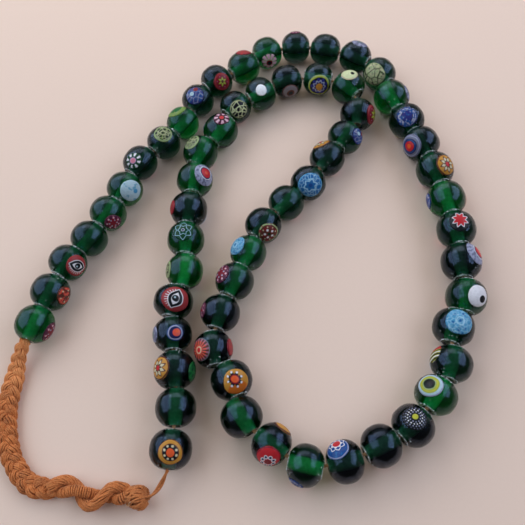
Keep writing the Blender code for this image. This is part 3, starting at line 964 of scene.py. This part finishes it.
def caneMaterial(name):
    made, tree, shader = newMaterial("cane" + name[0].upper() + name[1:], {
        "Specular IOR Level": caneGlass["mirror"], "Coat Weight": caneGlass["coat"],
        "Coat Roughness": caneGlass["coatRoughness"],
    })
    wobble = caneGlass["wobble"]
    stretch, centred = (2 * wobble, 2 * wobble, 0), (-wobble, -wobble, 0)
    at = whereOn(tree)
    flat = vectorCalc(tree, "MULTIPLY_ADD", whereOn(tree, "UV"), (2, 2, 0), (-1, -1, 0)).outputs[0]
    drift = noiseOn(tree, at, caneGlass["wobbles"], 1.0, output="Color")
    push = vectorCalc(tree, "MULTIPLY_ADD", drift, stretch, centred).outputs[0]
    plain = vectorCalc(tree, "ADD", flat, push).outputs[0]
    x, y, r, angle = discPlace(tree, plain, 0.0, 0.0)
    ground, *layers = canes[name]
    colour = ink[ground]
    for layer in layers:
        if layer[0] == "move":
            x, y, r, angle = discPlace(tree, plain, layer[1], layer[2])
        else:
            colour = blendColour(tree, caneMask(tree, layer, x, y, r, angle, plain), colour, ink[layer[-1]])
    fine = noiseOn(tree, at, caneGlass["grain"], 3.0)
    grime = times(tree, below(tree, fine, 0.46, 0.12), caneGlass["grimeShare"])
    feed(tree, shader.inputs["Base Color"], blendColour(tree, grime, colour, caneGlass["grime"]))
    wear = calc(tree, "MULTIPLY_ADD", fine, caneGlass["wear"], caneGlass["roughness"])
    feed(tree, shader.inputs["Roughness"], wear)
    feed(tree, shader.inputs["Normal"], bumpFrom(tree, fine, 0.10, caneGlass["bump"]))
    return made


# bead number, motif, right and up from the bead's middle as the camera sees it, size, turn in degrees;
# the lengths are shares of the bead's radius
discs = [
    (1, "darkPetals", 0.8, -0.45, 0.5, 0), (2, "brownRed", 0.72, -0.2, 0.48, 0),
    (3, "eyeRed", 0.47, -0.17, 0.56, 153), (5, "darkPetals", 0.25, -0.52, 0.46, 0),
    (6, "paleMilk", 0.38, -0.1, 0.6, 30), (7, "pinkFlower", -0.4, 0.12, 0.46, 10),
    (8, "limeLace", -0.03, 0.57, 0.55, 0), (9, "limeGlass", -0.42, 0.86, 0.6, 0),
    (10, "blueSwirl", -0.2, 0.35, 0.57, 0), (11, "redSun", 0.34, 0.0, 0.52, 0),
    (12, "redGlass", 0.0, 0.97, 0.48, 0), (13, "mauvePetals", 0.16, -0.52, 0.5, 0),
    (14, "darkPetals", -0.05, 0.98, 0.34, 0), (16, "greyMilk", 0.25, 0.93, 0.5, 0),
    (17, "mottledGreen", -0.35, 0.0, 0.66, 0), (18, "greyMilk", 0.95, 0.3, 0.42, 0),
    (19, "blueFlower", 0.02, 0.26, 0.57, 0), (20, "ringsRed", -0.6, -0.12, 0.63, 0),
    (21, "amberFlower", 0.62, 0.31, 0.57, 0), (22, "blueFlower", -0.96, -0.12, 0.42, 0),
    (23, "redStar", 0.18, 0.43, 0.5, 0), (24, "lavenderRed", 0.8, 0.5, 0.62, -40),
    (25, "whiteEye", 0.6, 0.06, 0.54, 0), (26, "paleSkyLace", 0.33, 0.3, 0.63, 0),
    (27, "stripes", -0.82, 0.48, 0.5, 40), (28, "yellowEye", -0.25, 0.5, 0.6, 0),
    (29, "whiteDots", 0.12, 0.36, 0.56, 0), (31, "blueStar", -0.36, 0.62, 0.58, 0),
    (32, "blueFlower", -0.52, -0.84, 0.42, 0), (33, "redRing", -0.17, -0.64, 0.58, 0),
    (33, "amberEdge", 0.6, 0.8, 0.5, 0), (35, "amberStar", 0.23, -0.08, 0.59, 0),
    (36, "orangeRays", -0.7, -0.04, 0.58, 0), (36, "redGlass", 0.95, 0.1, 0.46, 0),
    (37, "darkPetals", -0.95, 0.15, 0.42, 0), (38, "darkPetals", -0.72, 0.42, 0.5, 0),
    (39, "paleSkyLace", -0.72, 0.44, 0.54, 0), (40, "darkRings", 0.31, -0.44, 0.56, 0),
    (42, "skyLace", 0.13, -0.12, 0.67, 0), (43, "amberFlower", -0.38, 0.9, 0.52, 0),
    (44, "blueSwirl", 0.8, 0.06, 0.5, -60), (45, "redSun", 0.93, 0.0, 0.6, 0),
    (46, "creamEye", 0.06, 0.8, 0.5, 0), (47, "limeStar", 0.1, -0.43, 0.67, 0),
    (48, "greyDisc", 0.25, -0.66, 0.5, 0), (49, "whiteDisc", 0.04, 0.24, 0.35, 0),
    (50, "creamLace", 0.22, -0.14, 0.57, 0), (51, "whitePetals", 0.06, 0.75, 0.46, 0),
    (52, "limeLace", -0.56, 0.66, 0.5, 0), (53, "lavenderRed", 0.58, 0.31, 0.62, 0),
    (54, "redGlass", -0.95, 0.12, 0.4, 0), (55, "starLace", -0.15, 0.5, 0.53, 0),
    (56, "limeLace", -0.96, 0.1, 0.46, 0), (57, "eyeRed", 0.1, 0.17, 0.67, 69),
    (58, "crescentRed", 0.13, 0.1, 0.42, 0), (58, "greyMilk", -0.96, 0.0, 0.42, 0),
    (59, "amberFlower", -0.76, 0.1, 0.56, 0), (59, "clearGreen", 0.94, -0.1, 0.5, 0),
    (61, "amberWobble", -0.02, -0.14, 0.57, 0),
]
disc = {
    "rise": 0.00020, "sink": 0.00045, "segments": 32, "rings": 12, "edge": 0.985, "wander": 0.08,
    "lowest": 0.00001,
    "undersides": ["skyLace", "darkPetals", "amberStar", "blueStar", "whiteDots", "limeStar", "lavenderRed",
                   "orangeRays", "redStar"],
    "underStep": 5, "underSize": 0.46, "underTurn": 0.9, "underSide": 0.80, "underLow": 0.60,
    "underAlong": 0.12,
}


def seatDisc(bm, uvLayer, master, i, outward, size, turn):
    # bends a flat lens onto bead i with its middle towards outward
    place = beadMatrix(i)
    back = place.inverted()
    local = (back.to_3x3() @ outward).normalized()
    right = back.to_3x3() @ cameraRight
    along = (right - local * right.dot(local)).normalized()
    across = local.cross(along)
    cos, sin = math.cos(turn), math.sin(turn)
    along, across = along * cos + across * sin, across * cos - along * sin
    radius, half, full = bead["radius"], bead["halfLength"], bead["fullness"]
    had = len(bm.verts)
    bm.from_mesh(master)
    bm.verts.ensure_lookup_table()
    flat = {}
    for vert in bm.verts[had:]:
        x, y, z = vert.co
        flat[vert] = (x, y)
        drift = 1 + disc["wander"] * noise.noise(Vector((x + i * 3.1, y, i * 1.7)))
        x, y = x * drift, y * drift
        ray = local * math.sqrt(1 - min(1.0, x * x + y * y) * size * size) + (along * x + across * y) * size
        fill = (math.hypot(ray.x, ray.y) / radius) ** full + (abs(ray.z) / half) ** full
        surface = ray / fill ** (1 / full)
        lift = math.sqrt(z) * disc["rise"] if z > 0 else z * disc["sink"]
        vert.co = place @ (surface + ray * lift)
        vert.co.z = max(vert.co.z, disc["lowest"])  # a disc underneath is pressed flat like its bead
    for face in {face for vert in flat for face in vert.link_faces}:
        for loop in face.loops:
            x, y = flat[loop.vert]
            loop[uvLayer].uv = (0.5 + 0.5 * x, 0.5 + 0.5 * y)


lens = bmesh.new()
bmesh.ops.create_uvsphere(lens, u_segments=disc["segments"], v_segments=disc["rings"], radius=1.0)
masterLens = meshFrom(lens, "masterLens")

seats = {}
for number in range(1, string["beads"] + 1):
    middle, heading = beadSeats[number - 1]
    toCamera = (Vector(view["place"]) - middle).normalized()
    right = (cameraRight - toCamera * cameraRight.dot(toCamera)).normalized()
    up = toCamera.cross(right)
    for _, cane, dx, dy, size, turn in [row for row in discs if row[0] == number]:
        reach = math.hypot(dx, dy)
        if reach > disc["edge"]:
            dx, dy = dx * disc["edge"] / reach, dy * disc["edge"] / reach
        outward = right * dx + up * dy + toCamera * math.sqrt(1 - dx * dx - dy * dy)
        seats.setdefault(cane, []).append((number - 1, outward, size, math.radians(turn)))
    level = heading.cross(toCamera).normalized()  # one more disc low on the side turned from the camera
    low = level.cross(heading).normalized()
    if low.dot(toCamera) > 0:
        low = -low
    side = disc["underSide"] if number % 2 else -disc["underSide"]
    outward = (level * side + low * disc["underLow"] + heading * disc["underAlong"]).normalized()
    cane = disc["undersides"][number * disc["underStep"] % len(disc["undersides"])]
    seats.setdefault(cane, []).append((number - 1, outward, disc["underSize"], number * disc["underTurn"]))

for cane, spots in seats.items():
    bm = bmesh.new()
    uvLayer = bm.loops.layers.uv.new("UVMap")
    for i, outward, size, turn in spots:
        seatDisc(bm, uvLayer, masterLens, i, outward, size, turn)
    bmesh.ops.recalc_face_normals(bm, faces=bm.faces)
    name = "discs" + cane[0].upper() + cane[1:]
    addPiece(name, meshFrom(bm, name), finishes=[caneMaterial(cane)])
print("inlaid discs seated:", sum(len(spots) for spots in seats.values()))

# the table, the light and the air
studio = {
    "table": (0.84, 0.650, 0.522), "tableSize": 4.0, "cloudy": 0.97, "clouds": 900.0,
    "tableRoughness": 0.75, "tableMirror": 0.2, "sky": (1.0, 0.97, 0.97), "skyPower": 0.30,
    "front": (1.0, 0.80, 0.70), "frontPower": 0.09, "skyBack": 0.7, "skyUp": 0.6, "skyEdge": 0.2,
    "skySoft": 0.7,
}
# each lamp: the way to it, its distance, width, height, glow and colour
lamps = {
    "windowLeft": ((-0.688, 0.324, 0.649), 0.70, 0.72, 1.00, 1.50, (0.84, 0.98, 1.20)),
    "windowRight": ((0.777, 0.102, 0.620), 0.70, 0.44, 0.90, 1.95, (0.84, 0.96, 1.24)),
    "backLight": ((0.02, 0.80, 0.60), 0.42, 0.45, 0.25, 1.5, (1.0, 0.92, 0.88)),
}


def scaled(colour, share):
    return tuple(c * share for c in colour)


bm = bmesh.new()
bmesh.ops.create_grid(bm, x_segments=1, y_segments=1, size=studio["tableSize"] / 2)
tableMesh = meshFrom(bm, "table")
tableFinish, tableTree, tableShader = newMaterial("paleTable", {
    "Roughness": studio["tableRoughness"], "Specular IOR Level": studio["tableMirror"],
})
tableNoise = noiseOn(tableTree, whereOn(tableTree), studio["clouds"], 3.0)
tableTone = blendColour(tableTree, tableNoise, studio["table"], scaled(studio["table"], studio["cloudy"]))
feed(tableTree, tableShader.inputs["Base Color"], tableTone)
tableMesh.materials.append(tableFinish)
table = bpy.data.objects.new("table", tableMesh)
scene.collection.objects.link(table)

for name, (towards, distance, width, height, glow, colour) in lamps.items():
    lampData = bpy.data.lights.new(name, "AREA")
    lampData.shape = "RECTANGLE"
    lampData.size = width
    lampData.size_y = height
    lampData.energy = glow * math.pi * width * height
    lampData.color = colour
    lamp = bpy.data.objects.new(name, lampData)
    scene.collection.objects.link(lamp)
    away = Vector(towards).normalized()
    wide = (cameraRight - away * cameraRight.dot(away)).normalized()
    turn = Matrix((wide, away.cross(wide), away)).transposed().to_4x4()
    lamp.matrix_world = Matrix.Translation(away * distance) @ turn

world = bpy.data.worlds.new("softRoom")
scene.world = world
world.use_nodes = True
air = world.node_tree
airParts = air.nodes.new("ShaderNodeSeparateXYZ")
feed(air, airParts.inputs[0], whereOn(air, "Generated"))
towardsBack = plus(air, times(air, airParts.outputs[1], studio["skyBack"]),
                   times(air, airParts.outputs[2], studio["skyUp"]))
sky, front = scaled(studio["sky"], studio["skyPower"]), scaled(studio["front"], studio["frontPower"])
airColour = blendColour(air, below(air, towardsBack, studio["skyEdge"], studio["skySoft"]), sky, front)
feed(air, air.nodes["Background"].inputs["Color"], airColour)
scene.view_settings.view_transform = "Standard"
print("table and light set")
